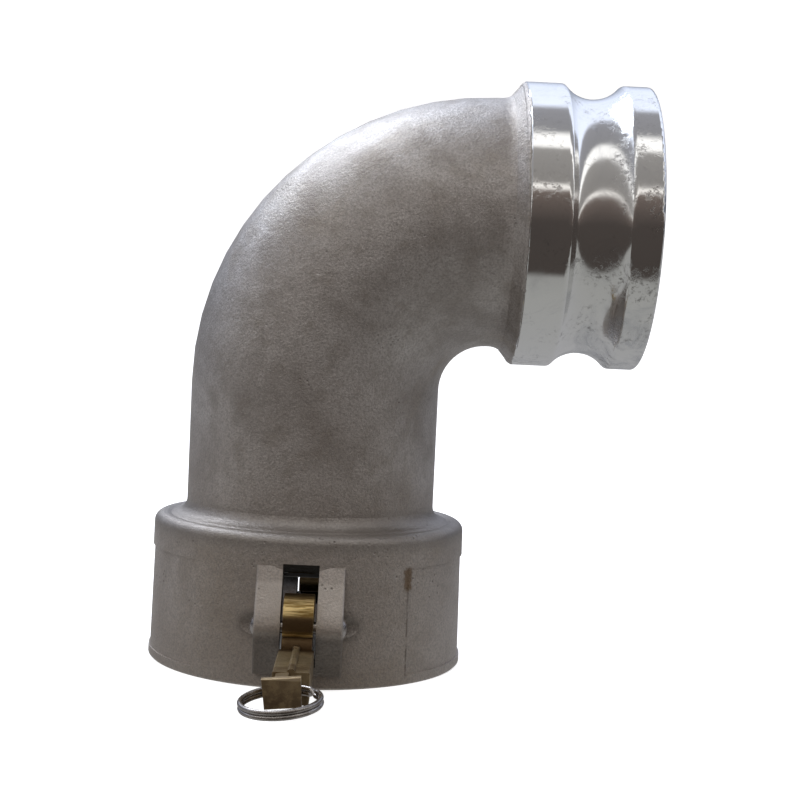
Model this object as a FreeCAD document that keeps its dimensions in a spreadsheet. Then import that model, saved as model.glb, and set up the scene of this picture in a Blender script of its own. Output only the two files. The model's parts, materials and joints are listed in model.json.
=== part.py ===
"""Camlock elbow coupling, DN 100: a cast 90 degree elbow with a female coupler and a male adapter end.

Frame: origin at the centre of the coupler's open face, +Z up the coupler axis into the elbow,
+X towards the male end. The cam arms sit at -Y (front) and +Y (rear). Millimetres.
"""
import FreeCAD
import Part
import Sketcher
import math
import os
import re

# How near a point must lie to a wanted place to count as on it, and the drawn length of an axis
TOUCH = 0.01
AXIS_LENGTH = 10

DIMENSIONS = {
    # How far a cut runs past the surface that it opens
    "cut_past": 1.0,
    # Cast pipe and bend
    "pipe_radius": 52.4,
    "pipe_bore": 48.4,
    "bend_radius": 71.8,
    "bend_start": 115.9,
    # Coupler collar, with a slight casting draft from rim to shoulder
    "collar_radius": 66.4,
    "collar_top_radius": 65.6,
    "rim_chamfer": 0.8,
    "lip_height": 56.2,
    "lip_round": 3.8,
    "step_radius": 58.9,
    "step_height": 59.6,
    "step_width": 1.4,
    "shoulder_round": 5.2,
    "shoulder_arc": 5.72,
    # Socket for a 4 inch adapter and the recess that holds its gasket
    "socket_radius": 60.2,
    "socket_depth": 43.6,
    "recess_radius": 62.2,
    "gasket_thickness": 6.4,
    "gasket_outer": 62.0,
    "gasket_bore": 51.2,
    "gasket_edge": 0.6,
    # Blank label fields cast into both sides of the collar
    "field_depth": 0.7,
    "field_bottom": 4.0,
    "field_top": 46.5,
    "field_angle": 100.0,
    "field_lean": 0.15,
    # Lugs that carry the pivot pins
    "lug_half_width": 17.2,
    "lug_bottom": 6.4,
    "lug_top": 47.8,
    "lug_root": 58.0,
    "lug_foot": 69.2,
    "lug_front": 73.5,
    "lug_crown": 64.8,
    "lug_nose": 5.0,
    "lug_nose_radius": 6.0,
    "lug_edge_round": 1.0,
    # Slot through the wall for each cam; its floor rises to a lip that the open arm rests on
    "slot_half_width": 6.95,
    "slot_floor": 10.6,
    "slot_lip": 13.6,
    "slot_lip_reach": 71.0,
    "slot_roof": 43.0,
    "slot_slope": 5.2,
    "slot_reach": 90.0,
    # Pivot pins, headed at both ends
    "pin_offset": 68.4,
    "pin_height": 24.8,
    "pin_radius": 2.5,
    "pin_clearance": 0.06,
    "head_radius": 4.2,
    "head_height": 1.9,
    "scoop_radius": 6.6,
    "scoop_length": 9.5,
    # Male end, turned from the casting
    "male_radius": 59.65,
    "flare_start": 73.0,
    "flare_foot": 77.2,
    "flare_foot_radius": 53.6,
    "flare_fillet": 8.0,
    "flare_top": 80.6,
    "flare_top_radius": 57.7,
    "flare_top_round": 2.8,
    "turning_step": 0.25,
    "band_start": 82.4,
    "groove_center": 110.6,
    "groove_half_width": 12.3,
    "groove_radius": 53.5,
    "groove_edge_round": 2.4,
    "face_position": 134.9,
    "end_round": 1.6,
    # Cam arm
    "cam_radius": 10.2,
    "cam_rise": 2.8,
    "cam_back": 0.8,
    "cam_width": 11.6,
    "cam_clear_of_bore": 60.0,
    "stop_gap": 0.1,
    "neck_bottom": 11.2,
    "neck_top": 22.4,
    "neck_front": 76.6,
    "neck_bend": 4.6,
    "neck_overlap": 3.0,
    "neck_sink": 0.5,
    "root_inset": 4.0,
    "root_bottom": 19.0,
    "relief_depth": 8.0,
    "lever_width": 13.6,
    "lever_start": 78.8,
    "lever_end": 115.9,
    "lever_top": 18.5,
    "lever_bottom": 6.8,
    "lever_edge_round": 0.7,
    "rib_width": 2.8,
    "rib_height": 1.2,
    "rib_round": 1.1,
    "rib_root": 0.5,
    "knob_radius": 1.6,
    "knob_height": 2.1,
    "knob_round": 1.3,
    # End of the cam arm: a web with the ring hole, closed by a finger plate that is cast a little askew
    "tip_shift": -2.5,
    "tip_twist": 5.5,
    "tip_height": 12.9,
    "web_thickness": 4.6,
    "web_height": 10.9,
    "web_root": 1.0,
    "ring_hole_offset": 118.35,
    "ring_hole_radius": 2.7,
    "plate_start": 121.7,
    "plate_thickness": 2.7,
    "plate_width": 14.0,
    "plate_taper": 0.4,
    "plate_height": 10.9,
    "plate_edge_round": 0.5,
    # Pull ring of two turns of wire
    "wire_radius": 0.95,
    "wire_pinch": 0.04,
    "ring_radius": 14.0,
    "ring_droop": 4.0,
}

PLANE_ROLES = {"XY": "XY_Plane", "XZ": "XZ_Plane", "YZ": "YZ_Plane"}

doc = FreeCAD.newDocument("camlock_elbow")


def make_sheet():
    """Puts every driving dimension in the sheet, one aliased cell each."""
    dims = doc.addObject("Spreadsheet::Sheet", "dims")
    for row, (alias, number) in enumerate(DIMENSIONS.items(), start=1):
        dims.set(f"A{row}", alias)
        dims.set(f"B{row}", str(number))
        dims.setAlias(f"B{row}", alias)
    doc.recompute()
    return dims


sheet = make_sheet()


def bound(expression):
    """Names the sheet in front of each alias, for setExpression."""
    return re.sub(r"\b([a-z]+(?:_[a-z]+)+)\b", r"dims.\1", expression)


def value(expression):
    """The number that an expression in aliases comes to."""
    result = sheet.evalExpression(bound(expression))
    return float(getattr(result, "Value", result))


def bind(target, path, expression):
    """Drives one property from the sheet."""
    target.setExpression(path, bound(expression))


def make_body(name):
    """A new PartDesign body whose label names its file."""
    body = doc.addObject("PartDesign::Body", name)
    body.Label = name
    return body


def sketch_on(body, name, plane, shift=(), turn=None):
    """A sketch on one of the body's origin planes, shifted by (axis, expression) pairs."""
    sketch = body.newObject("Sketcher::SketchObject", name)
    for feature in body.Origin.OriginFeatures:
        if feature.Role == PLANE_ROLES[plane]:
            sketch.AttachmentSupport = [(feature, "")]
    sketch.MapMode = "FlatFace"
    if turn:
        axis, angle = turn
        rotation = FreeCAD.Rotation(axis, value(angle))
        sketch.AttachmentOffset = FreeCAD.Placement(FreeCAD.Vector(), rotation)
        bind(sketch, "AttachmentOffset.Rotation.Angle", f"({angle}) * 1deg")
    for axis, expression in shift:
        bind(sketch, f"AttachmentOffset.Base.{axis}", expression)
    return sketch


def pin_point(sketch, geometry, position, x, y):
    """Fixes one point of a sketch at (x, y), both expressions."""
    for kind, expression in (("DistanceX", x), ("DistanceY", y)):
        if value(expression) == 0:
            axis = -2 if kind == "DistanceX" else -1
            sketch.addConstraint(Sketcher.Constraint("PointOnObject", geometry, position, axis))
            continue
        number = value(expression)
        row = sketch.addConstraint(Sketcher.Constraint(kind, -1, 1, geometry, position, number))
        bind(sketch, f"Constraints[{row}]", expression)


def edge_between(start, end, radius):
    """A line, or an arc that turns left for a positive radius, with its start and end positions."""
    if not radius:
        return Part.LineSegment(start, end), 1, 2
    chord = end - start
    left = FreeCAD.Vector(-chord.y, chord.x, 0).normalize()
    rise = math.sqrt(radius ** 2 - (chord.Length / 2) ** 2)
    center = (start + end) * 0.5 + left * math.copysign(rise, radius)
    circle = Part.Circle(center, FreeCAD.Vector(0, 0, 1), abs(radius))
    first = math.atan2(start.y - center.y, start.x - center.x)
    last = math.atan2(end.y - center.y, end.x - center.x)
    if radius > 0:
        return Part.ArcOfCircle(circle, first, last), 1, 2
    return Part.ArcOfCircle(circle, last, first), 2, 1


def outline(sketch, vertices):
    """A closed outline. A vertex is (x, y), or (x, y, radius) where an arc follows it."""
    points = [FreeCAD.Vector(value(vertex[0]), value(vertex[1]), 0) for vertex in vertices]
    ends = []
    for index, vertex in enumerate(vertices):
        bend = value(vertex[2]) if len(vertex) > 2 else 0
        following = points[(index + 1) % len(points)]
        curve, start, end = edge_between(points[index], following, bend)
        geometry = sketch.addGeometry(curve)
        pin_point(sketch, geometry, start, vertex[0], vertex[1])
        if bend:
            row = sketch.addConstraint(Sketcher.Constraint("Radius", geometry, abs(bend)))
            bind(sketch, f"Constraints[{row}]", f"abs({vertex[2]})")
        ends.append((geometry, start, end))
    for index, (geometry, _, end) in enumerate(ends):
        following, start, _ = ends[(index + 1) % len(ends)]
        sketch.addConstraint(Sketcher.Constraint("Coincident", geometry, end, following, start))


def outline_both_sides(sketch, vertices):
    """The same outline at the front and at the rear, mirrored in the sketch's vertical axis."""
    outline(sketch, vertices)
    mirrored = []
    for x, y, *bend in vertices:
        mirrored.append((f"-({x})", y, *(f"-({radius})" for radius in bend)))
    outline(sketch, mirrored)


def circle(sketch, x, y, radius):
    """A circle fixed by its centre and radius."""
    center = FreeCAD.Vector(value(x), value(y), 0)
    geometry = sketch.addGeometry(Part.Circle(center, FreeCAD.Vector(0, 0, 1), value(radius)))
    pin_point(sketch, geometry, 3, x, y)
    row = sketch.addConstraint(Sketcher.Constraint("Radius", geometry, value(radius)))
    bind(sketch, f"Constraints[{row}]", radius)


def axis_line(sketch, x):
    """A construction line along the sketch's vertical, at x, to turn a profile about."""
    top = FreeCAD.Vector(value(x), AXIS_LENGTH, 0)
    geometry = sketch.addGeometry(Part.LineSegment(FreeCAD.Vector(value(x), 0, 0), top), True)
    sketch.addConstraint(Sketcher.Constraint("Vertical", geometry))
    pin_point(sketch, geometry, 1, x, "0")
    sketch.addConstraint(Sketcher.Constraint("Distance", geometry, AXIS_LENGTH))


def turned(body, name, kind, sketch, axis, angle="360", midplane=False, reverse=False):
    """A revolution or groove of a sketch about one of its axes."""
    feature = body.newObject(f"PartDesign::{kind}", name)
    feature.Profile = sketch
    feature.ReferenceAxis = (sketch, [axis])
    bind(feature, "Angle", angle)
    feature.Midplane = midplane
    feature.Reversed = reverse
    doc.recompute()
    return feature


def extruded(body, name, kind, sketch, length, symmetric=True, reverse=False):
    """A pad or pocket of a sketch."""
    feature = body.newObject(f"PartDesign::{kind}", name)
    feature.Profile = sketch
    bind(feature, "Length", length)
    feature.SideType = "Symmetric" if symmetric else "One side"
    feature.Reversed = reverse
    doc.recompute()
    return feature


def rounded(body, name, radius, chosen):
    """Fillets the edges of the body's tip that the test picks out."""
    tip = body.Tip
    edges = [f"Edge{n}" for n, edge in enumerate(tip.Shape.Edges, start=1) if chosen(edge)]
    feature = body.newObject("PartDesign::Fillet", name)
    feature.Base = (tip, edges)
    bind(feature, "Radius", radius)
    doc.recompute()
    return feature


def all_points(edge, test):
    """Whether a test holds at both ends and the middle of an edge."""
    middle = edge.valueAt((edge.FirstParameter + edge.LastParameter) / 2)
    return all(test(point) for point in [vertex.Point for vertex in edge.Vertexes] + [middle])


def make_elbow_outside(body):
    """Collar, bend and male end as solid shapes."""
    collar = sketch_on(body, "collar_outline", "XZ")
    outline(collar, [
        ("0", "0"),
        ("collar_radius - rim_chamfer", "0"),
        ("collar_radius", "rim_chamfer"),
        ("collar_top_radius", "lip_height", "lip_round"),
        ("collar_top_radius - lip_round", "lip_height + lip_round"),
        ("step_radius + step_width", "lip_height + lip_round"),
        ("step_radius", "step_height"),
        ("step_radius - step_width", "step_height + step_width / 2", "-shoulder_arc"),
        ("pipe_radius", "step_height + step_width / 2 + shoulder_round"),
        ("pipe_radius", "bend_start"),
        ("0", "bend_start"),
    ])
    turned(body, "collar_solid", "Revolution", collar, "V_Axis")

    bend = sketch_on(body, "bend_section", "XY", [("z", "bend_start")])
    circle(bend, "0", "0", "pipe_radius")
    axis_line(bend, "bend_radius")
    turned(body, "bend_solid", "Revolution", bend, "Axis0", "90")

    groove_depth = "(male_radius - groove_radius)"
    groove_arc = f"(groove_half_width ^ 2 + {groove_depth} ^ 2) / (2 * {groove_depth})"
    male = sketch_on(body, "male_outline", "XZ", [("y", "bend_start + bend_radius")])
    outline(male, [
        ("bend_radius", "0"),
        ("bend_radius", "pipe_radius"),
        ("flare_start", "pipe_radius", "flare_fillet"),
        ("flare_foot", "flare_foot_radius"),
        ("flare_top", "flare_top_radius", "-flare_top_round"),
        ("band_start", "male_radius - turning_step"),
        ("band_start + turning_step", "male_radius"),
        ("groove_center - groove_half_width", "male_radius", groove_arc),
        ("groove_center + groove_half_width", "male_radius"),
        ("face_position - end_round", "male_radius", "-end_round"),
        ("face_position", "male_radius - end_round"),
        ("face_position", "0"),
    ])
    turned(body, "male_solid", "Revolution", male, "H_Axis")
    height = value("bend_start + bend_radius")
    radius = value("male_radius")
    wanted = (value("groove_center - groove_half_width"), value("groove_center + groove_half_width"))

    def on_groove_edge(edge):
        return all_points(edge, lambda p: min(abs(p.x - x) for x in wanted) < TOUCH
                          and abs(math.hypot(p.y, p.z - height) - radius) < TOUCH)

    rounded(body, "groove_edges", "groove_edge_round", on_groove_edge)


def make_lugs(body):
    """The raised block at the front and at the rear that the slots part into two lugs each."""
    lugs = sketch_on(body, "lug_outline", "YZ")
    outline_both_sides(lugs, [
        ("lug_root", "lug_bottom"),
        ("lug_foot", "lug_bottom"),
        ("lug_front", "pin_height - lug_nose / 2", "lug_nose_radius"),
        ("lug_front", "pin_height + lug_nose / 2"),
        ("lug_crown", "lug_top"),
        ("lug_root", "lug_top"),
    ])
    extruded(body, "lug_blocks", "Pad", lugs, "2 * lug_half_width")
    side = value("lug_half_width")
    beyond = value("collar_radius")
    rounded(body, "lug_sides", "lug_edge_round",
            lambda edge: all_points(edge, lambda p: abs(abs(p.x) - side) < TOUCH and abs(p.y) > beyond)
            and edge.Length > value("lug_nose - cut_past"))


def make_passage(body):
    """Socket, gasket recess and the bore through to the male end's face."""
    socket = sketch_on(body, "socket_outline", "XZ")
    outline(socket, [
        ("0", "-cut_past"),
        ("socket_radius", "-cut_past"),
        ("socket_radius", "socket_depth"),
        ("recess_radius", "socket_depth"),
        ("recess_radius", "socket_depth + gasket_thickness"),
        ("pipe_bore", "socket_depth + gasket_thickness"),
        ("pipe_bore", "bend_start"),
        ("0", "bend_start"),
    ])
    turned(body, "socket_cut", "Groove", socket, "V_Axis")

    bend = sketch_on(body, "bend_bore", "XY", [("z", "bend_start")])
    circle(bend, "0", "0", "pipe_bore")
    axis_line(bend, "bend_radius")
    turned(body, "bend_cut", "Groove", bend, "Axis0", "90")

    outlet = sketch_on(body, "outlet_bore", "XZ", [("y", "bend_start + bend_radius")])
    outline(outlet, [
        ("bend_radius", "0"),
        ("bend_radius", "pipe_bore"),
        ("face_position - cut_past", "pipe_bore"),
        ("face_position + cut_past", "pipe_bore + 2 * cut_past"),
        ("face_position + cut_past", "0"),
    ])
    turned(body, "outlet_cut", "Groove", outlet, "H_Axis")


def make_cam_openings(body):
    """Slots for the cams, holes for the pins and scoops beside the lugs for the pins' heads."""
    slots = sketch_on(body, "slot_outline", "YZ")
    outline_both_sides(slots, [
        ("slot_reach", "slot_lip"),
        ("slot_reach", "slot_roof + slot_slope"),
        ("socket_radius + slot_slope", "slot_roof + slot_slope"),
        ("socket_radius", "slot_roof"),
        ("socket_radius - slot_slope", "slot_roof"),
        ("socket_radius - slot_slope", "slot_floor"),
        ("collar_radius", "slot_floor"),
        ("slot_lip_reach", "slot_lip"),
    ])
    extruded(body, "cam_slots", "Pocket", slots, "2 * slot_half_width")

    holes = sketch_on(body, "pin_holes_outline", "YZ")
    for side in ("", "-"):
        circle(holes, f"{side}pin_offset", "pin_height", "pin_radius")
    extruded(body, "pin_holes", "Pocket", holes, "2 * (lug_half_width + cut_past)")

    for side, reverse in (("", True), ("-", False)):
        name = "scoops_right" if reverse else "scoops_left"
        scoop = sketch_on(body, f"{name}_outline", "YZ", [("z", f"{side}lug_half_width")])
        for end in ("", "-"):
            circle(scoop, f"{end}pin_offset", "pin_height", "scoop_radius")
        extruded(body, name, "Pocket", scoop, "scoop_length", symmetric=False, reverse=reverse)


def make_label_fields(body):
    """Shallow blank fields on both sides of the collar, between the pairs of lugs."""
    for name, side in (("field_right", ""), ("field_left", "-")):
        field = sketch_on(body, f"{name}_outline", "XZ")
        outline(field, [
            (f"{side}(collar_radius - field_depth)", "field_bottom"),
            (f"{side}(collar_radius + 2 * cut_past)", "field_bottom"),
            (f"{side}(collar_top_radius + 2 * cut_past)", "field_top"),
            (f"{side}(collar_top_radius - field_depth + field_lean)", "field_top"),
        ])
        turned(body, name, "Groove", field, "V_Axis", "field_angle", midplane=True)


def make_elbow_body():
    """The one casting: collar, lugs, bend and male end."""
    body = make_body("elbow_body")
    make_elbow_outside(body)
    make_label_fields(body)
    make_lugs(body)
    make_passage(body)
    make_cam_openings(body)
    return body


def make_gasket():
    """The rubber ring that the adapter's face seals against."""
    body = make_body("socket_gasket")
    ring = sketch_on(body, "gasket_outline", "XZ")
    top = "socket_depth + gasket_thickness"
    outline(ring, [
        ("gasket_bore + gasket_edge", "socket_depth"),
        ("gasket_outer", "socket_depth"),
        ("gasket_outer", top),
        ("gasket_bore + gasket_edge", top),
        ("gasket_bore", f"{top} - gasket_edge"),
        ("gasket_bore", "socket_depth + gasket_edge"),
    ])
    turned(body, "gasket_solid", "Revolution", ring, "V_Axis")
    return body


def make_pin(name):
    """A pivot pin with a domed head on each end, along X in front of the collar."""
    body = make_body(name)
    place = [("y", "pin_height"), ("z", "pin_offset")]
    half = sketch_on(body, f"{name}_outline", "XZ", place)
    dome = "(head_radius ^ 2 + head_height ^ 2) / (2 * head_height)"
    outline(half, [
        ("-(lug_half_width + head_height)", "0", f"-({dome})"),
        ("-lug_half_width", "head_radius"),
        ("-lug_half_width", "pin_radius"),
        ("lug_half_width", "pin_radius"),
        ("lug_half_width", "head_radius", f"-({dome})"),
        ("lug_half_width + head_height", "0"),
    ])
    turned(body, f"{name}_solid", "Revolution", half, "H_Axis")
    return body


def make_arm(name):
    """A brass cam arm, swung open to the front: eccentric cam, lever, ring web and finger plate."""
    body = make_body(name)
    cam = sketch_on(body, f"{name}_cam_outline", "YZ")
    circle(cam, "-(pin_offset - cam_back)", "pin_height + cam_rise", "cam_radius")
    extruded(body, f"{name}_cam", "Pad", cam, "cam_width")

    neck = sketch_on(body, f"{name}_neck_outline", "YZ")
    outline(neck, [
        ("-(pin_offset - root_inset / 2)", "root_bottom"),
        ("-(pin_offset - root_inset)", "pin_height - root_inset / 2"),
        ("-(pin_offset + root_inset / 2)", "neck_top + root_inset / 2"),
        ("-neck_front", "neck_top", "neck_bend"),
        ("-lever_start", "lever_top"),
        ("-(lever_start + neck_overlap)", "lever_top"),
        ("-(lever_start + neck_overlap)", "neck_bottom - neck_sink"),
        ("-(lever_start - neck_overlap)", "neck_bottom"),
        ("-slot_lip_reach", "slot_lip + stop_gap"),
    ])
    extruded(body, f"{name}_neck", "Pad", neck, "cam_width")

    relief = sketch_on(body, f"{name}_relief_outline", "YZ")
    outline(relief, [
        ("-cam_clear_of_bore", "slot_floor - relief_depth"),
        ("-(cam_clear_of_bore - relief_depth)", "slot_floor - relief_depth"),
        ("-(cam_clear_of_bore - relief_depth)", "slot_roof"),
        ("-cam_clear_of_bore", "slot_roof"),
    ])
    extruded(body, f"{name}_relief", "Pocket", relief, "2 * cam_width")

    lever = sketch_on(body, f"{name}_lever_outline", "YZ")
    outline(lever, [
        ("-lever_start", "lever_top"),
        ("-lever_end", "lever_top"),
        ("-lever_end", "lever_bottom"),
        ("-(lever_start + 2 * neck_overlap)", "neck_bottom - 2 * neck_sink"),
        ("-lever_start", "neck_bottom"),
    ])
    extruded(body, f"{name}_lever", "Pad", lever, "lever_width")
    half = value("lever_width") / 2
    rounded(body, f"{name}_lever_edges", "lever_edge_round",
            lambda edge: all_points(edge, lambda p: abs(abs(p.x) - half) < TOUCH))

    rib = sketch_on(body, f"{name}_rib_outline", "XY", [("z", "lever_top - rib_root")])
    outline(rib, [
        ("-rib_width / 2", "-lever_end"),
        ("rib_width / 2", "-lever_end"),
        ("rib_width / 2", "-(lever_start + knob_radius)"),
        ("-rib_width / 2", "-(lever_start + knob_radius)"),
    ])
    extruded(body, f"{name}_rib", "Pad", rib, "rib_height + rib_root", symmetric=False)
    crest = value("lever_top + rib_height")
    rounded(body, f"{name}_rib_edges", "rib_round",
            lambda edge: all_points(edge, lambda p: abs(p.z - crest) < TOUCH)
            and edge.BoundBox.YLength > TOUCH)

    knob = sketch_on(body, f"{name}_knob_outline", "XY", [("z", "lever_top - rib_root")])
    circle(knob, "0", "-(lever_start + knob_radius)", "knob_radius")
    extruded(body, f"{name}_knob", "Pad", knob, "knob_height + rib_root", symmetric=False)
    summit = value("lever_top + knob_height")
    rounded(body, f"{name}_knob_edge", "knob_round",
            lambda edge: all_points(edge, lambda p: abs(p.z - summit) < TOUCH))

    tip_turn = (FreeCAD.Vector(0, 0, 1), "tip_twist")
    plate = sketch_on(body, f"{name}_plate_outline", "XZ",
                      [("x", "tip_shift"), ("y", "tip_height"), ("z", "plate_start")], tip_turn)
    outline(plate, [
        ("-(plate_width / 2 - plate_taper)", "-plate_height / 2"),
        ("plate_width / 2 - plate_taper", "-plate_height / 2"),
        ("plate_width / 2", "plate_height / 2"),
        ("-plate_width / 2", "plate_height / 2"),
    ])
    extruded(body, f"{name}_plate", "Pad", plate, "plate_thickness", symmetric=False)
    face = -value("plate_start + plate_thickness")
    rounded(body, f"{name}_plate_edges", "plate_edge_round",
            lambda edge: all_points(edge, lambda p: abs(p.y - face) < TOUCH))

    web = sketch_on(body, f"{name}_web_outline", "XZ",
                    [("x", "tip_shift"), ("y", "tip_height"), ("z", "lever_end - web_root")], tip_turn)
    outline(web, [
        ("-web_thickness / 2", "-web_height / 2"),
        ("web_thickness / 2", "-web_height / 2"),
        ("web_thickness / 2", "web_height / 2"),
        ("-web_thickness / 2", "web_height / 2"),
    ])
    extruded(body, f"{name}_web", "Pad", web, "plate_start - lever_end + 1.5 * web_root", symmetric=False)

    hole = sketch_on(body, f"{name}_pin_hole_outline", "YZ")
    circle(hole, "-pin_offset", "pin_height", "pin_radius + pin_clearance")
    extruded(body, f"{name}_pin_hole", "Pocket", hole, "2 * cam_width")

    ring_hole = sketch_on(body, f"{name}_ring_hole_outline", "YZ",
                          [("y", "tip_height"), ("z", "tip_shift")],
                          (FreeCAD.Vector(1, 0, 0), "-tip_twist"))
    circle(ring_hole, "-ring_hole_offset", "0", "ring_hole_radius")
    extruded(body, f"{name}_ring_hole", "Pocket", ring_hole, "2 * web_thickness")
    return body


def make_ring(name):
    """A pull ring: two turns of wire pressed together, about the vertical, with its middle at the origin."""
    turns = []
    for turn, side in (("upper", ""), ("lower", "-")):
        wire = doc.addObject("Part::Torus", f"{name}_{turn}_turn")
        bind(wire, "Radius1", "ring_radius")
        bind(wire, "Radius2", "wire_radius")
        bind(wire, "Placement.Base.z", f"{side}(wire_radius - wire_pinch)")
        turns.append(wire)
    ring = doc.addObject("Part::MultiFuse", name)
    ring.Label = name
    ring.Shapes = turns
    doc.recompute()
    return ring


def ring_placement():
    """Droops the ring and hooks its back into the web's hole."""
    hook = FreeCAD.Vector(value("tip_shift"), -value("ring_hole_offset"), value("tip_height"))
    back_at_origin = FreeCAD.Placement(FreeCAD.Vector(0, -value("ring_radius"), 0), FreeCAD.Rotation())
    droop = FreeCAD.Placement(FreeCAD.Vector(),
                              FreeCAD.Rotation(FreeCAD.Vector(1, 0, 0), value("ring_droop")))
    twist = FreeCAD.Placement(hook, FreeCAD.Rotation(FreeCAD.Vector(0, 1, 0), -value("tip_twist")))
    return twist * droop * back_at_origin


HALF_TURN = FreeCAD.Placement(FreeCAD.Vector(), FreeCAD.Rotation(FreeCAD.Vector(0, 0, 1), 180))

parts = [make_elbow_body(), make_gasket()]
for end in ("front", "rear"):
    pin = make_pin(f"pivot_pin_{end}")
    arm = make_arm(f"cam_arm_{end}")
    ring = make_ring(f"pull_ring_{end}")
    ring.Placement = ring_placement()
    if end == "rear":
        for twin in (pin, arm, ring):
            twin.Placement = HALF_TURN * twin.Placement
    parts += [pin, arm, ring]

doc.recompute()
for item in doc.Objects:
    if "Invalid" in item.State or "Error" in item.State:
        raise RuntimeError(f"{item.Name} failed: {item.State}")

os.makedirs("parts", exist_ok=True)
for part in parts:
    shape = part.Shape
    if shape.isNull() or not shape.isValid() or len(shape.Solids) != 1:
        raise RuntimeError(f"{part.Label} is not one valid solid")
    shape.exportStep(f"parts/{part.Label}.step")
    print(f"{part.Label}: {shape.Volume / 1000:.2f} cm3, {shape.BoundBox}")
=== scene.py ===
import json
import math

import bmesh
import bpy
from mathutils import Matrix, Vector


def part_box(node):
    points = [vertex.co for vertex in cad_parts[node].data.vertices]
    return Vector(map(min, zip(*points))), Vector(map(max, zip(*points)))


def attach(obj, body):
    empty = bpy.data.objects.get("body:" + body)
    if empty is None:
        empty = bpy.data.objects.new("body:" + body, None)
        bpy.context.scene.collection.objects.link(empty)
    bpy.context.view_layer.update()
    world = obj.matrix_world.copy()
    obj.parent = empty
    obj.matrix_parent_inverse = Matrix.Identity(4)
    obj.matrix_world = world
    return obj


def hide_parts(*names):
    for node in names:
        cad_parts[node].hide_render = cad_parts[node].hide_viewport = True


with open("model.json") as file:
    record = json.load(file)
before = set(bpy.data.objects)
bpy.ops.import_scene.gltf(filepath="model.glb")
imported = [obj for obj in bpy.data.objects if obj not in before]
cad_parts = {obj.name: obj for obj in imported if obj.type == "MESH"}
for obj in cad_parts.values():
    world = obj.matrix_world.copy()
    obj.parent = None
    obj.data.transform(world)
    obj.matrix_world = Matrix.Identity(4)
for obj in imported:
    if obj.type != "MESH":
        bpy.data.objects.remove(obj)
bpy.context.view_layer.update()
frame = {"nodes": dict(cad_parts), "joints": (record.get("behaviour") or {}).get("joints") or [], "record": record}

# The camlock elbow coupling in its materials, lit and seen much as in the photo. The CAD nodes keep their
# shapes, except that a wound split ring takes the place of each plain pull ring.

NODES = frame["nodes"]
MM = 0.001

# Places on the casting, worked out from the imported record
MOUNTS = {mount["name"]: mount for mount in frame["record"]["mounts"]}
HINGES = {joint["name"]: joint for joint in frame["joints"]}
OUTLET_HEIGHT = MOUNTS["male_adapter"]["pos_m"][2]
SOCKET_RADIUS = MOUNTS["coupler_socket"]["dims"]["r_mm"] * MM
SOCKET_DEPTH = MOUNTS["coupler_socket"]["dims"]["length_mm"] * MM
PIN_REACH = abs(HINGES["front_cam_hinge"]["pos_m"][1])
PIN_HEIGHT = HINGES["front_cam_hinge"]["pos_m"][2]
FACE_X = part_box("elbow_body")[1].x

# Where the casting's finish and its painted shade change: in the turned end, the slots, the gasket's recess, the
# lugs and the label fields. Most places lie a little past or short of the surface that they follow.
TURNED_START = FACE_X - 52.7 * MM
OUTLET_WALL = 49.4 * MM
FACE_SKIN = 1.2 * MM
SLOT_SIDE = 7.0 * MM
SLOT_INNER, SLOT_OUTER = 54 * MM, 72.6 * MM
SLOT_FLOOR, SLOT_ROOF = 10 * MM, 48.6 * MM
RECESS_TOP = 50.4 * MM
RECESS_WALL = 62.4 * MM
LUG_SIDE = 17.1 * MM
LUG_START = 67.5 * MM
COLLAR_SKIN = 64 * MM
FIELD_EDGE = math.radians(50)
FIELD_LOW, FIELD_TOP = 4 * MM, 46.5 * MM

# Where the arm's finish, its painted light and its painted shade change, outward from its pin and in height
CAM_REACH = PIN_REACH + 8.6 * MM
CAM_LOW, CAM_TOP = 22.6 * MM, 37.6 * MM
LEVER_TIP = PIN_REACH + 44 * MM
PLATE_START = PIN_REACH + 52.6 * MM
PLATE_LOW, PLATE_TOP = 8 * MM, 18 * MM

# Pull ring: the wire, its two turns with a short crossover, and how the ring is turned
WIRE_RADIUS = 0.95 * MM
RING_RADIUS = 14.0 * MM
RING_DROOP = math.radians(4.0)
RING_TURNS = 2
CROSSOVER = math.radians(13)
RING_SPIN = math.radians(134)
WIRE_PRESS = 0.03 * MM
WIRE_SIDES, WIRE_STEPS = 20, 360
END_SHARE = 0.86

# Room: angle in degrees up from the front horizon and over the top, negative below it, and the colour there
ROOM = [
    (-180, (0.30, 0.30, 0.31)),
    (-60, (0.26, 0.26, 0.25)),
    (-45, (0.24, 0.24, 0.23)),
    (-41, (0.045, 0.038, 0.034)),
    (0, (0.050, 0.042, 0.038)),
    (24, (0.125, 0.100, 0.088)),
    (26, (0.85, 0.82, 0.78)),
    (29, (0.85, 0.82, 0.78)),
    (30, (0.20, 0.19, 0.18)),
    (59, (0.25, 0.24, 0.23)),
    (62, (0.95, 0.94, 0.92)),
    (72, (0.95, 0.94, 0.92)),
    (77, (0.22, 0.22, 0.23)),
    (102, (0.25, 0.25, 0.27)),
    (108, (0.80, 0.86, 1.00)),
    (165, (0.68, 0.75, 0.92)),
    (180, (0.45, 0.48, 0.55)),
]
ROOM_STRENGTH = 1.25
PAPER_GLOW = 0.8
PAPER_SHADE = 63 * MM
BACK_START, BACK_FULL = math.radians(98), math.radians(106)
# Painted shade: the near-black colour laid into the cam slots, the bore behind them, the scoops and under the lugs
PAINTED_SHADE = (0.014, 0.012, 0.010, 1)

# Camera and lights
CAMERA_PLACE = (0.0243, -0.6502, 0.1454)
CAMERA_YAW, CAMERA_PITCH, CAMERA_ROLL = math.radians(-1.056), math.radians(-3.054), math.radians(2.65)
CAMERA_LENS, SENSOR_WIDTH = 68.54, 36
LIGHT_AIM = (0.02, 0, 0.13)


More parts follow.
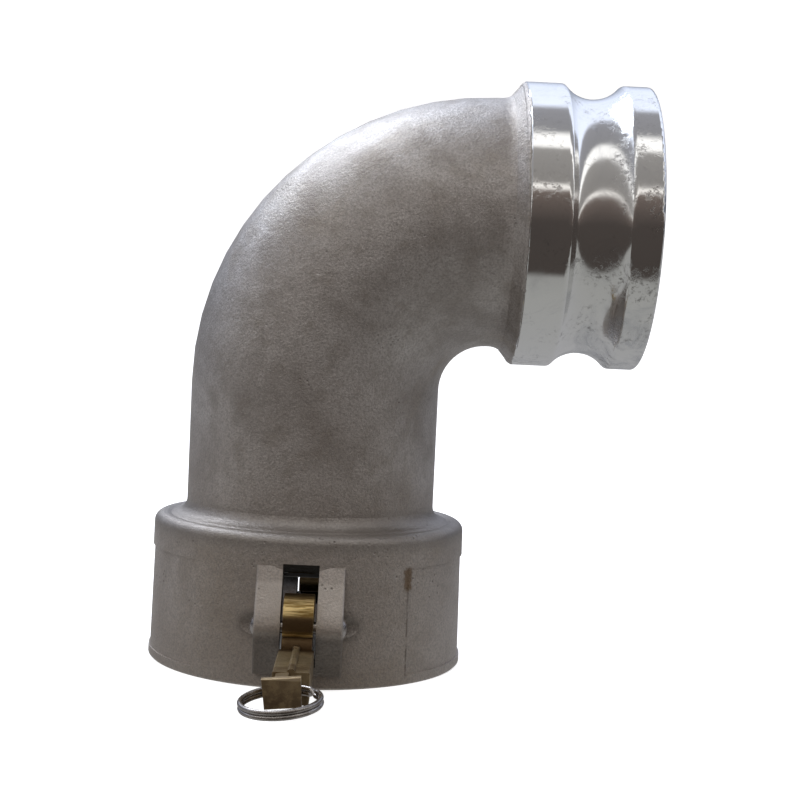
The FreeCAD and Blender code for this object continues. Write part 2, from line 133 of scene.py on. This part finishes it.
class Graph:
    """A node tree with short calls, so that a material or the world reads as the steps it takes."""

    def __init__(self, tree, coordinates):
        self.tree = tree
        self.tree.nodes.clear()
        self.place = self.node("ShaderNodeTexCoord").outputs[coordinates]
        self.axes = self.node("ShaderNodeSeparateXYZ")
        self.link(self.place, self.axes.inputs[0])

    def node(self, kind, **settings):
        made = self.tree.nodes.new(kind)
        for key, setting in settings.items():
            setattr(made, key, setting)
        return made

    def link(self, source, target):
        self.tree.links.new(source, target)

    def feed(self, target, source):
        """Sets a socket to a number, a colour or another node's output."""
        if isinstance(source, bpy.types.NodeSocket):
            self.link(source, target)
        else:
            target.default_value = source

    def axis(self, letter):
        return self.axes.outputs[letter]

    def math(self, operation, *inputs):
        made = self.node("ShaderNodeMath", operation=operation)
        for socket, source in zip(made.inputs, inputs):
            self.feed(socket, source)
        return made.outputs[0]

    def chain(self, operation, first, *others):
        """One operation from the first input through all the others."""
        for other in others:
            first = self.math(operation, first, other)
        return first

    def times(self, *inputs):
        return self.chain("MULTIPLY", *inputs)

    def plus(self, *inputs):
        return self.chain("ADD", *inputs)

    def most(self, *inputs):
        return self.chain("MAXIMUM", *inputs)

    def distance(self, first, first_center, second, second_center):
        """Distance in a plane from a centre, along two of the axes."""
        first = self.math("SUBTRACT", first, first_center)
        second = self.math("SUBTRACT", second, second_center)
        return self.math("SQRT", self.plus(self.times(first, first), self.times(second, second)))

    def stretch(self, x, y, z):
        """Object coordinates stretched along each axis, so a texture is long or short there."""
        made = self.node("ShaderNodeMapping")
        self.link(self.place, made.inputs["Vector"])
        made.inputs["Scale"].default_value = (x, y, z)
        return made.outputs[0]

    def noise(self, scale, detail=3, roughness=0.55, vector=None, distortion=0.0):
        made = self.node("ShaderNodeTexNoise")
        self.feed(made.inputs["Vector"], vector or self.place)
        made.inputs["Scale"].default_value = scale
        made.inputs["Detail"].default_value = detail
        made.inputs["Roughness"].default_value = roughness
        made.inputs["Distortion"].default_value = distortion
        return made.outputs[0]

    def cells(self, scale):
        made = self.node("ShaderNodeTexVoronoi")
        self.link(self.place, made.inputs["Vector"])
        made.inputs["Scale"].default_value = scale
        return made.outputs["Distance"]

    def remap(self, source, low, high, to_low=0.0, to_high=1.0, smooth=True):
        made = self.node("ShaderNodeMapRange")
        if smooth:
            made.interpolation_type = "SMOOTHSTEP"
        for name, number in (("From Min", low), ("From Max", high), ("To Min", to_low), ("To Max", to_high)):
            made.inputs[name].default_value = number
        self.link(source, made.inputs["Value"])
        return made.outputs[0]

    def above(self, source, edge, soft):
        """0 up to the edge, rising to 1 over the soft distance."""
        return self.remap(source, edge, edge + soft)

    def below(self, source, edge, soft):
        """1 up to the edge, falling to 0 over the soft distance."""
        return self.remap(source, edge, edge + soft, 1, 0)

    def within(self, source, low, high, soft):
        """1 between low and high, falling to 0 over the soft distance outside them."""
        return self.times(self.above(source, low - soft, soft), self.below(source, high, soft))

    def mix(self, share, first, second):
        """The first colour where the share is 0, the second where it is 1."""
        made = self.node("ShaderNodeMix", data_type="RGBA")
        self.feed(made.inputs["Factor"], share)
        self.feed(made.inputs[6], first)
        self.feed(made.inputs[7], second)
        return made.outputs[2]

    def blend(self, share, first, second):
        """The same as mix, for numbers."""
        made = self.node("ShaderNodeMix", data_type="FLOAT")
        for socket, source in zip(made.inputs[:1] + made.inputs[2:4], (share, first, second)):
            self.feed(socket, source)
        return made.outputs[0]

    def bump(self, height, distance, strength=1.0):
        made = self.node("ShaderNodeBump")
        made.inputs["Distance"].default_value = distance
        made.inputs["Strength"].default_value = strength
        self.link(height, made.inputs["Height"])
        return made.outputs[0]


class Finish(Graph):
    """The graph of one material, with its Principled shader."""

    def __init__(self, name):
        self.material = bpy.data.materials.new(name)
        self.material.use_nodes = True
        super().__init__(self.material.node_tree, "Object")
        self.shader = self.node("ShaderNodeBsdfPrincipled")
        output = self.node("ShaderNodeOutputMaterial")
        self.link(self.shader.outputs[0], output.inputs["Surface"])

    def finish(self, color, roughness, normal, metallic=1.0):
        self.feed(self.shader.inputs["Base Color"], color)
        self.feed(self.shader.inputs["Roughness"], roughness)
        self.feed(self.shader.inputs["Metallic"], metallic)
        if normal is not None:
            self.link(normal, self.shader.inputs["Normal"])
        return self.material


def turned_mask(graph):
    """1 on the surfaces that were turned: the male end's outside and face, and the coupler's socket."""
    x, y, z = (graph.axis(letter) for letter in "XYZ")
    ragged = graph.times(graph.math("SUBTRACT", graph.noise(130, 4), 0.5), 3.2 * MM)
    past_start = graph.above(graph.plus(x, ragged), TURNED_START - 0.15 * MM, 0.3 * MM)
    outside = graph.above(graph.distance(z, OUTLET_HEIGHT, y, 0.0), OUTLET_WALL, 0.4 * MM)
    at_face = graph.above(x, FACE_X - FACE_SKIN, 0.3 * MM)
    male = graph.times(past_start, graph.most(outside, at_face))
    in_socket = graph.below(graph.distance(x, 0.0, y, 0.0), SOCKET_RADIUS + 2.4 * MM, 0.1 * MM)
    below_seat = graph.below(z, SOCKET_DEPTH + 6 * MM, 0.3 * MM)
    return graph.most(male, graph.times(in_socket, below_seat))


def painted_shade_mask(graph):
    """1 where shade is painted in near black: in and behind the cam slots, in the scoops, and under the lugs."""
    x, y, height = (graph.axis(letter) for letter in "XYZ")
    side = graph.math("ABSOLUTE", x)
    reach = graph.math("ABSOLUTE", y)
    slot = graph.times(graph.below(side, SLOT_SIDE, 0.1 * MM),
                       graph.within(reach, SLOT_INNER, SLOT_OUTER, 0.8 * MM),
                       graph.within(height, SLOT_FLOOR, SLOT_ROOF, 0.3 * MM))
    inside = graph.times(graph.below(side, 20 * MM, 10 * MM),
                         graph.within(reach, 30 * MM, 62.5 * MM, 0.4 * MM),
                         graph.above(height, 12 * MM, 10 * MM),
                         graph.below(height, RECESS_TOP, 0.6 * MM),
                         graph.below(graph.distance(x, 0.0, y, 0.0), RECESS_WALL, 0.4 * MM))
    scoop = graph.times(graph.within(side, 17.5 * MM, 22 * MM, 7 * MM),
                        graph.below(graph.distance(reach, PIN_REACH, height, PIN_HEIGHT), 3.5 * MM, 5.5 * MM),
                        graph.above(side, LUG_SIDE, 0.2 * MM))
    under = graph.times(graph.above(reach, LUG_START, 1 * MM), graph.below(height, 20 * MM, 5 * MM))
    return graph.most(graph.times(graph.most(slot, inside), 0.95), graph.times(scoop, 0.75),
                      graph.times(under, 0.5))


def field_marks(graph):
    """Painted shade along the upright edges of the right label field, and one brown stain at its front corner."""
    x, y, height = (graph.axis(letter) for letter in "XYZ")
    outside = graph.above(graph.distance(x, 0.0, y, 0.0), COLLAR_SKIN, 0.4 * MM)
    turn = graph.math("ARCTAN2", graph.math("ABSOLUTE", y), x)
    worn = graph.remap(graph.noise(140, 4, 0.7), 0.35, 0.6)
    # Painted shade: a dark line where the field steps down from the collar
    edge = graph.times(graph.within(turn, FIELD_EDGE - 0.003, FIELD_EDGE + 0.009, 0.008),
                       graph.within(height, FIELD_LOW, FIELD_TOP, 1 * MM), outside, worn)

    wander = graph.times(graph.math("SUBTRACT", graph.noise(500, 3, 0.7), 0.5), 0.05)
    around = graph.plus(graph.math("ARCTAN2", y, x), wander)
    stain = graph.times(graph.within(around, -FIELD_EDGE - 0.026, -FIELD_EDGE + 0.018, 0.024),
                        graph.within(height, 39 * MM, 45.5 * MM, 2.5 * MM), outside)
    return edge, stain


def cast_color(graph, clouds, pitted):
    """Brown-grey cast skin, with clouds, stains, grime and dark pits, painted shade towards the bottom and along
    the label field's edges, and painted light on the lugs' upper faces.
    """
    height = graph.axis("Z")
    stains = graph.remap(graph.noise(11, 4, 0.6, distortion=0.8), 0.52, 0.66)
    grime = graph.remap(graph.noise(95, 4, 0.7), 0.45, 0.72)
    speckle = graph.remap(graph.noise(1150, 2, 0.7), 0.35, 0.7)
    # Painted shade: browner and darker towards the bottom of the casting
    low = graph.below(height, 20 * MM, 100 * MM)
    shoulder = graph.within(height, 57 * MM, 63 * MM, 6 * MM)
    reach = graph.math("ABSOLUTE", graph.axis("Y"))
    # Painted light: the lugs' upper faces are lighter where the light falls on them
    lit_lug_face = graph.times(graph.above(reach, LUG_START - 0.7 * MM, 0.8 * MM),
                           graph.above(height, 27 * MM, 6 * MM))
    edge, corner_stain = field_marks(graph)
    color = graph.mix(clouds, (0.43, 0.395, 0.375, 1), (0.64, 0.61, 0.595, 1))
    for mask, share, tint in (
        (stains, 0.6, (0.42, 0.36, 0.29, 1)),
        (grime, 0.5, (0.31, 0.27, 0.235, 1)),
        # painted shade towards the bottom
        (low, 0.55, (0.50, 0.43, 0.365, 1)),
        (speckle, 0.55, (0.27, 0.25, 0.24, 1)),
        (shoulder, 0.5, (0.27, 0.25, 0.235, 1)),
        # painted light on the lugs' upper faces
        (lit_lug_face, 0.45, (0.74, 0.69, 0.64, 1)),
        # painted shade along the label field's edges
        (edge, 0.6, (0.12, 0.10, 0.085, 1)),
        (corner_stain, 0.75, (0.17, 0.10, 0.04, 1)),
        (pitted, 0.6, (0.10, 0.085, 0.07, 1)),
    ):
        color = graph.mix(graph.times(mask, share), color, tint)
    return color


def cast_aluminium():
    """Sand-cast, tumbled aluminium that turns bright past the machining line."""
    graph = Finish("cast_aluminium")
    height = graph.axis("Z")
    turned = turned_mask(graph)

    clouds = graph.remap(graph.noise(26, 6, 0.65, distortion=0.5), 0.34, 0.66)
    at_rim = graph.within(height, 30 * MM, 60 * MM, 6 * MM)
    sparse = graph.remap(graph.plus(graph.noise(70, 2), graph.times(at_rim, 0.09)), 0.63, 0.72)
    pitted = graph.times(graph.remap(graph.cells(420), 0.05, 0.3, 1, 0), sparse)
    cast = cast_color(graph, clouds, pitted)
    cast_rough = graph.blend(clouds, 0.46, 0.38)

    haze = graph.remap(graph.noise(42, 6, 0.7, distortion=0.9), 0.44, 0.66)
    underside = graph.below(height, OUTLET_HEIGHT - 52 * MM, 32 * MM)
    oxide = graph.times(haze, graph.plus(graph.times(underside, 0.7), 0.3))
    freckle = graph.remap(graph.noise(420, 5, 0.75, distortion=0.4), 0.5, 0.66)
    corroded = graph.times(freckle, graph.remap(graph.noise(48, 4, 0.65), 0.46, 0.62))
    bright = graph.mix(oxide, (0.90, 0.90, 0.90, 1), (0.66, 0.67, 0.70, 1))
    bright = graph.mix(graph.times(corroded, 0.75), bright, (0.34, 0.33, 0.33, 1))
    rings = graph.noise(1.0, 3, 0.7, vector=graph.stretch(2600, 40, 40))
    bright_rough = graph.plus(graph.blend(oxide, 0.06, 0.34), graph.times(rings, 0.06),
                              graph.times(corroded, 0.25))

    cast_height = graph.plus(graph.times(graph.noise(1050, 3, 0.75), 0.75),
                             graph.times(graph.noise(330, 3, 0.65), 0.8),
                             graph.noise(34, 2, 0.5),
                             graph.times(pitted, -0.7))
    turned_height = graph.plus(graph.times(rings, 0.012), graph.times(corroded, -0.06),
                               graph.times(graph.noise(120, 2, 0.5), 0.07))
    normal = graph.bump(graph.blend(turned, cast_height, turned_height), 0.35 * MM)
    # Painted shade: the slots, the bore behind them, the scoops and the lugs' undersides darkened towards near
    # black
    color = graph.mix(painted_shade_mask(graph), graph.mix(turned, cast, bright), PAINTED_SHADE)
    return graph.finish(color, graph.blend(turned, cast_rough, bright_rough), normal,
                        graph.blend(turned, 0.75, 1.0))


def brass():
    """Cast brass, browned where it was left as cast and brighter where the cam was turned, with painted highlights
    in bands across the turned cam and along the plate's top lip, and painted shade on the cam's crest, the neck,
    the lever's tip and the plate's lower part.
    """
    graph = Finish("brass")
    reach = graph.math("ABSOLUTE", graph.axis("Y"))
    height = graph.axis("Z")
    cam = graph.times(graph.above(height, CAM_LOW, 0.8 * MM), graph.below(reach, CAM_REACH, 0.6 * MM))
    # Painted shade: the top of the turned cam is darker
    shaded_crest = graph.above(height, CAM_TOP - 2.4 * MM, 2.4 * MM)
    # Painted shade: the concave neck between cam and lever is painted near black
    shaded_neck = graph.times(graph.within(reach, PIN_REACH + 4 * MM, PIN_REACH + 12 * MM, 3 * MM),
                       graph.math("SUBTRACT", 1.0, cam))
    # Painted shade: the lever's tip is darker brown, and its down-turned plate is darker still towards the bottom;
    # the blotches on the tip are its own mottling
    tip = graph.above(reach, LEVER_TIP, 9 * MM)
    plate_lower_shade = graph.below(height, PLATE_LOW, PLATE_TOP - PLATE_LOW)
    # Painted highlight: a light band along the top edge of the down-turned plate
    lip_highlight = graph.times(graph.above(reach, PLATE_START, 0.4 * MM),
                      graph.above(height, PLATE_TOP - 0.8 * MM, 0.6 * MM))
    clouds = graph.remap(graph.noise(110, 5, 0.65), 0.34, 0.66)
    tarnish = graph.remap(graph.noise(60, 4, 0.6, distortion=0.6), 0.44, 0.62)
    blotches = graph.times(graph.remap(graph.noise(240, 4, 0.7), 0.42, 0.6), tip)
    cast = graph.mix(clouds, (0.22, 0.165, 0.09, 1), (0.42, 0.33, 0.19, 1))
    for mask, share, tint in (
        (tarnish, 0.7, (0.15, 0.095, 0.045, 1)),
        # painted shade on the neck
        (shaded_neck, 0.9, (0.085, 0.048, 0.02, 1)),
        # painted shade on the lever's tip
        (tip, 0.6, (0.22, 0.15, 0.085, 1)),
        # painted shade on the lower part of the down-turned plate
        (graph.times(tip, plate_lower_shade), 0.55, (0.12, 0.08, 0.05, 1)),
        (blotches, 0.6, (0.40, 0.30, 0.17, 1)),
        # painted highlight on the plate's top lip
        (lip_highlight, 0.7, (0.62, 0.50, 0.33, 1)),
    ):
        cast = graph.mix(graph.times(mask, share), cast, tint)

    # Painted highlights: light and dark bands across the turned cam's colour; the same noise also raises fine
    # ridges in its bump
    highlight_and_ridge_bands = graph.noise(1.0, 4, 0.7, vector=graph.stretch(40, 560, 560))
    bright = graph.mix(graph.remap(highlight_and_ridge_bands, 0.42, 0.58), (0.30, 0.19, 0.06, 1), (0.95, 0.72, 0.34, 1))
    # painted shade on the cam's crest
    bright = graph.mix(graph.times(shaded_crest, 0.75), bright, (0.22, 0.13, 0.05, 1))
    cast_height = graph.plus(graph.times(graph.noise(1300, 3, 0.7), 0.35),
                             graph.times(graph.noise(330, 3, 0.65), 0.8))
    normal = graph.bump(graph.blend(cam, cast_height, graph.times(highlight_and_ridge_bands, 0.3)), 0.2 * MM)
    rough = graph.blend(cam, graph.blend(clouds, 0.5, 0.36), 0.42)
    return graph.finish(graph.mix(cam, cast, bright), rough, normal, graph.blend(cam, 0.8, 1.0))


def steel(name, scale):
    """Drawn stainless steel with fine scratches."""
    graph = Finish(name)
    scratches = graph.noise(scale, 4, 0.75)
    smears = graph.remap(graph.noise(scale / 6, 3, 0.6), 0.35, 0.7)
    color = graph.mix(smears, (0.50, 0.47, 0.45, 1), (0.26, 0.23, 0.21, 1))
    rough = graph.remap(scratches, 0.3, 0.7, 0.2, 0.34)
    return graph.finish(color, rough, graph.bump(scratches, 0.02 * MM, 0.5))


def rubber():
    """Black nitrile rubber with a moulded grain."""
    graph = Finish("rubber")
    grain = graph.noise(1500, 2, 0.6)
    dust = graph.remap(graph.noise(70, 4, 0.6), 0.5, 0.75)
    color = graph.mix(graph.times(dust, 0.4), (0.012, 0.012, 0.013, 1), (0.06, 0.058, 0.055, 1))
    rough = graph.remap(grain, 0.3, 0.7, 0.5, 0.68)
    return graph.finish(color, rough, graph.bump(grain, 0.06 * MM, 0.8), metallic=0.0)


def floor_paper():
    """Matt white paper that glows evenly, with a painted shadow where the coupler stands on it."""
    graph = Finish("floor_paper")
    mottle = graph.noise(6, 3, 0.5)
    color = graph.mix(mottle, (0.80, 0.80, 0.80, 1), (0.84, 0.84, 0.84, 1))
    graph.shader.inputs["Emission Color"].default_value = (1, 1, 1, 1)
    # Painted shadow: the glow stops within PAPER_SHADE of the axis, under the coupler
    clear = graph.above(graph.distance(graph.axis("X"), 0.0, graph.axis("Y"), 0.0), PAPER_SHADE, 4 * MM)
    graph.link(graph.times(clear, PAPER_GLOW), graph.shader.inputs["Emission Strength"])
    return graph.finish(color, 0.8, None, metallic=0.0)


def dress(node, material):
    """Puts a finish on a CAD node in place of its plain one."""
    mesh = NODES[node].data
    mesh.materials.clear()
    mesh.materials.append(material)
    for polygon in mesh.polygons:
        polygon.material_index = 0


def new_object(name, mesh):
    made = bpy.data.objects.new(name, mesh)
    bpy.context.scene.collection.objects.link(made)
    return made


def split_ring_path():
    """Angle and rise along a wire of two flat turns joined by a short crossover."""
    turn = 2 * math.pi
    span = RING_TURNS * turn - CROSSOVER
    for step in range(WIRE_STEPS + 1):
        angle = span * step / WIRE_STEPS
        climb = min(max((angle - (turn - CROSSOVER)) / CROSSOVER, 0), 1)
        eased = climb * climb * (3 - 2 * climb)
        yield angle, (eased - 0.5) * 2 * (WIRE_RADIUS - WIRE_PRESS)


def split_ring_mesh(name):
    """The wire about Z, as loops of vertices along its path, a little thinner at its two ends."""
    mesh = bmesh.new()
    loops = []
    for index, (angle, rise) in enumerate(split_ring_path()):
        outward = Vector((math.cos(angle), math.sin(angle), 0))
        from_end = min(index, WIRE_STEPS - index)
        radius = WIRE_RADIUS * (END_SHARE + (1 - END_SHARE) * min(from_end / 2, 1) ** 0.5)
        loop = []
        for side in range(WIRE_SIDES):
            around = 2 * math.pi * side / WIRE_SIDES
            place = outward * (RING_RADIUS + radius * math.cos(around))
            loop.append(mesh.verts.new(place + Vector((0, 0, rise + radius * math.sin(around)))))
        loops.append(loop)
    for first, second in zip(loops, loops[1:]):
        for side in range(WIRE_SIDES):
            after = (side + 1) % WIRE_SIDES
            mesh.faces.new((first[side], second[side], second[after], first[after]))
    mesh.faces.new(loops[0])
    mesh.faces.new(loops[-1][::-1])
    bmesh.ops.recalc_face_normals(mesh, faces=mesh.faces)
    data = bpy.data.meshes.new(name)
    mesh.to_mesh(data)
    mesh.free()
    for polygon in data.polygons:
        polygon.use_smooth = len(polygon.vertices) == 4
    return data


def hooked_place(hinge):
    """The ring's place: its back at the hinge, its front drooping outward."""
    hook = Vector(hinge["pos_m"])
    pivot = Vector(hinge["axis"]).normalized()
    outward = Vector((0, math.copysign(1, hook.y), 0))
    upward = pivot.cross(outward)
    if upward.z < 0:
        upward = -upward
    droop = Matrix.Rotation(RING_DROOP, 3, pivot)
    radial, normal = droop @ outward, droop @ upward
    axes = Matrix((radial, normal.cross(radial), normal)).transposed().to_4x4()
    return Matrix.Translation(hook + radial * RING_RADIUS) @ axes @ Matrix.Rotation(RING_SPIN, 4, "Z")


def make_split_ring(name, body, node, hinge, material):
    """A pull ring wound from two turns of wire, hooked through the cam arm at the hinge."""
    data = split_ring_mesh(name)
    data.materials.append(material)
    data.transform(hooked_place(hinge))
    ring = new_object(name, data)
    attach(ring, body)
    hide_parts(node)


def make_floor(material):
    """A round sheet of paper that sweeps up into a backdrop on every side."""
    reach, height, bend, steps, sides = 2.4, 3.5, 0.8, 16, 96
    profile = [(reach - bend, 0.0)]
    for step in range(1, steps + 1):
        angle = math.pi / 2 * step / steps
        profile.append((reach - bend + bend * math.sin(angle), bend - bend * math.cos(angle)))
    profile.append((reach, height))
    mesh = bmesh.new()
    rows = [[mesh.verts.new((radius * math.cos(turn), radius * math.sin(turn), z)) for radius, z in profile]
            for turn in (2 * math.pi * side / sides for side in range(sides))]
    mesh.faces.new([row[0] for row in rows])
    for side, row in enumerate(rows):
        after = rows[(side + 1) % sides]
        for index in range(len(profile) - 1):
            mesh.faces.new((row[index], after[index], after[index + 1], row[index + 1]))
    bmesh.ops.recalc_face_normals(mesh, faces=mesh.faces)
    data = bpy.data.meshes.new("studio_floor")
    mesh.to_mesh(data)
    mesh.free()
    for polygon in data.polygons:
        polygon.use_smooth = True
    floor = new_object("studio_floor", data)
    data.materials.append(material)
    floor.visible_glossy = False
    floor.visible_diffuse = False
    floor.visible_shadow = False


def add_softbox(name, place, target, size, power, color):
    """A rectangular light that faces the target."""
    data = bpy.data.lights.new(name, "AREA")
    data.shape = "RECTANGLE"
    data.size, data.size_y = size
    data.energy = power
    data.color = color
    light = bpy.data.objects.new(name, data)
    bpy.context.scene.collection.objects.link(light)
    light.location = place
    light.rotation_euler = (Vector(target) - Vector(place)).to_track_quat("-Z", "Y").to_euler()
    return light


def add_world():
    """The room as the metal sees it; the part behind dims towards the horizon."""
    world = bpy.data.worlds.new("room")
    bpy.context.scene.world = world
    world.use_nodes = True
    graph = Graph(world.node_tree, "Generated")
    forward = graph.times(graph.axis("Y"), -1.0)
    angle = graph.math("ARCTAN2", graph.axis("Z"), forward)
    share = graph.remap(angle, -math.pi, math.pi, smooth=False)
    ramp = graph.node("ShaderNodeValToRGB")
    elements = ramp.color_ramp.elements
    elements.remove(elements[-1])
    for index, (degrees, color) in enumerate(ROOM):
        place = (degrees + 180) / 360
        stop = elements.new(place) if index else elements[0]
        stop.position = place
        stop.color = (*color, 1)
    graph.link(share, ramp.inputs[0])
    behind = graph.remap(angle, BACK_START, BACK_FULL)
    raised = graph.remap(graph.axis("Z"), 0.1, 0.62, 0.13, 1.0)
    strength = graph.times(graph.blend(behind, 1.0, raised), ROOM_STRENGTH)
    background = graph.node("ShaderNodeBackground")
    graph.link(ramp.outputs[0], background.inputs["Color"])
    graph.link(strength, background.inputs["Strength"])
    graph.link(background.outputs[0], graph.node("ShaderNodeOutputWorld").inputs["Surface"])


def add_lights():
    add_softbox("sky_upper_left", (-0.6, 0.7, 1.3), LIGHT_AIM, (0.8, 0.8), 9, (0.87, 0.93, 1.0))
    fill = add_softbox("fill_front", (-0.5, -1.5, 0.7), LIGHT_AIM, (1.0, 0.7), 10, (1.0, 0.96, 0.92))
    fill.visible_glossy = False
    add_world()


def add_camera():
    """Low and close in front of the front cam arm, turned and rolled a little."""
    data = bpy.data.cameras.new("camera")
    data.sensor_width = SENSOR_WIDTH
    data.lens = CAMERA_LENS
    camera = bpy.data.objects.new("camera", data)
    bpy.context.scene.collection.objects.link(camera)
    turn = (Matrix.Rotation(CAMERA_YAW, 4, "Z") @ Matrix.Rotation(math.pi / 2 + CAMERA_PITCH, 4, "X")
            @ Matrix.Rotation(CAMERA_ROLL, 4, "Z"))
    camera.matrix_world = Matrix.Translation(CAMERA_PLACE) @ turn
    bpy.context.scene.camera = camera


def main():
    casting, arm_brass = cast_aluminium(), brass()
    pin_steel, ring_steel = steel("pin_steel", 1400), steel("ring_steel", 900)
    dress("elbow_body", casting)
    dress("socket_gasket", rubber())
    for end in ("front", "rear"):
        dress(f"cam_arm_{end}", arm_brass)
        dress(f"pivot_pin_{end}", pin_steel)
        make_split_ring(f"split_ring_{end}", f"{end}_ring", f"pull_ring_{end}",
                        HINGES[f"{end}_ring_hinge"], ring_steel)
    make_floor(floor_paper())
    add_lights()
    add_camera()
    bpy.context.scene.view_settings.view_transform = "Standard"


main()
